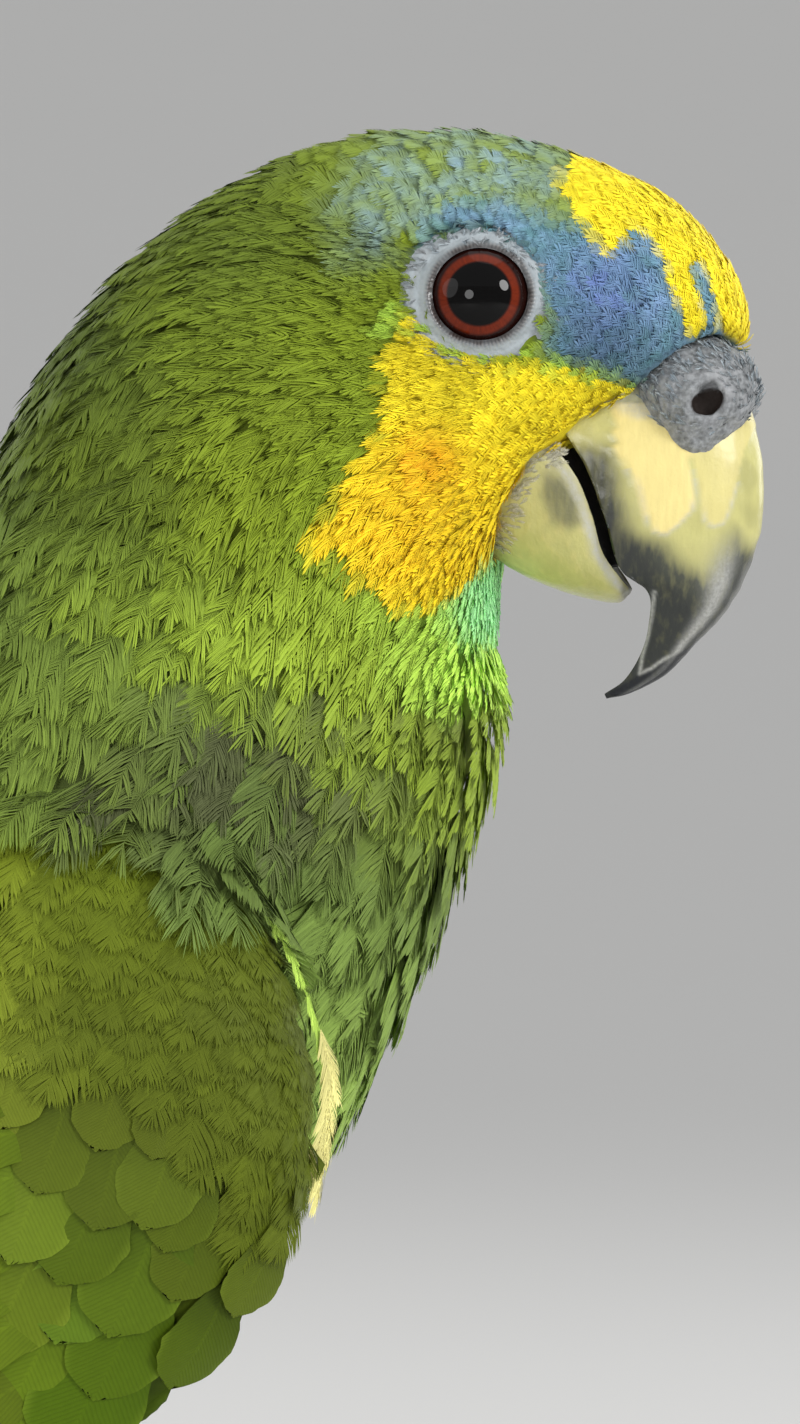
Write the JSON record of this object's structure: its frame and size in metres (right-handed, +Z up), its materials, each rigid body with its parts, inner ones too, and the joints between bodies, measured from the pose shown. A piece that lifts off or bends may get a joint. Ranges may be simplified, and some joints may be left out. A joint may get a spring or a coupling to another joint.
{
  "type": "orange-winged amazon parrot on a perch",
  "caption": "Life-size still model of an orange-winged amazon parrot gripping a short cut branch, on a turned wooden base with a short rod.",
  "frame": {"origin": "middle of the base's flat underside", "axes": "+X the way the bird's body faces, +Y the bird's left side and along the perch, +Z up"},
  "size_m": [0.2026, 0.132, 0.2682],
  "materials": {
    "plumage": "soft overlapping body feathers in green, yellow and blue",
    "wing_coverts": "smooth overlapping coverts in olive green",
    "flight_feathers": "stiff flight feathers in green, blue-black and orange",
    "horn": "pale yellow horn with a dark slate tip, softly glossy",
    "bare_skin": "dull grey bare skin",
    "eye": "wet and glossy, dark pupil in a red-brown iris",
    "scaled_skin": "grey scaled skin",
    "claw": "dark horn",
    "bark": "rough grey-brown bark with pale cut ends",
    "stand_metal": "satin brass",
    "stand_wood": "dark stained, satin lacquer"
  },
  "bodies": {
    "root": {"head": "plumage", "neck": "plumage", "trunk": "plumage", "thigh_right": "plumage", "thigh_left": "plumage", "wing_right": "wing_coverts", "wing_left": "wing_coverts", "wing_tip_right": "flight_feathers", "wing_tip_left": "flight_feathers", "tail": "flight_feathers", "bill_upper": "horn", "bill_lower": "horn", "cere": "bare_skin", "eye_right": "eye", "eye_left": "eye", "foot_right": "scaled_skin", "foot_left": "scaled_skin", "claw_inner_front_right": "claw", "claw_outer_front_right": "claw", "claw_inner_back_right": "claw", "claw_outer_back_right": "claw", "claw_inner_front_left": "claw", "claw_outer_front_left": "claw", "claw_inner_back_left": "claw", "claw_outer_back_left": "claw", "perch": "bark", "stand_rod": "stand_metal", "stand_base": "stand_wood"}
  },
  "joints": []
}
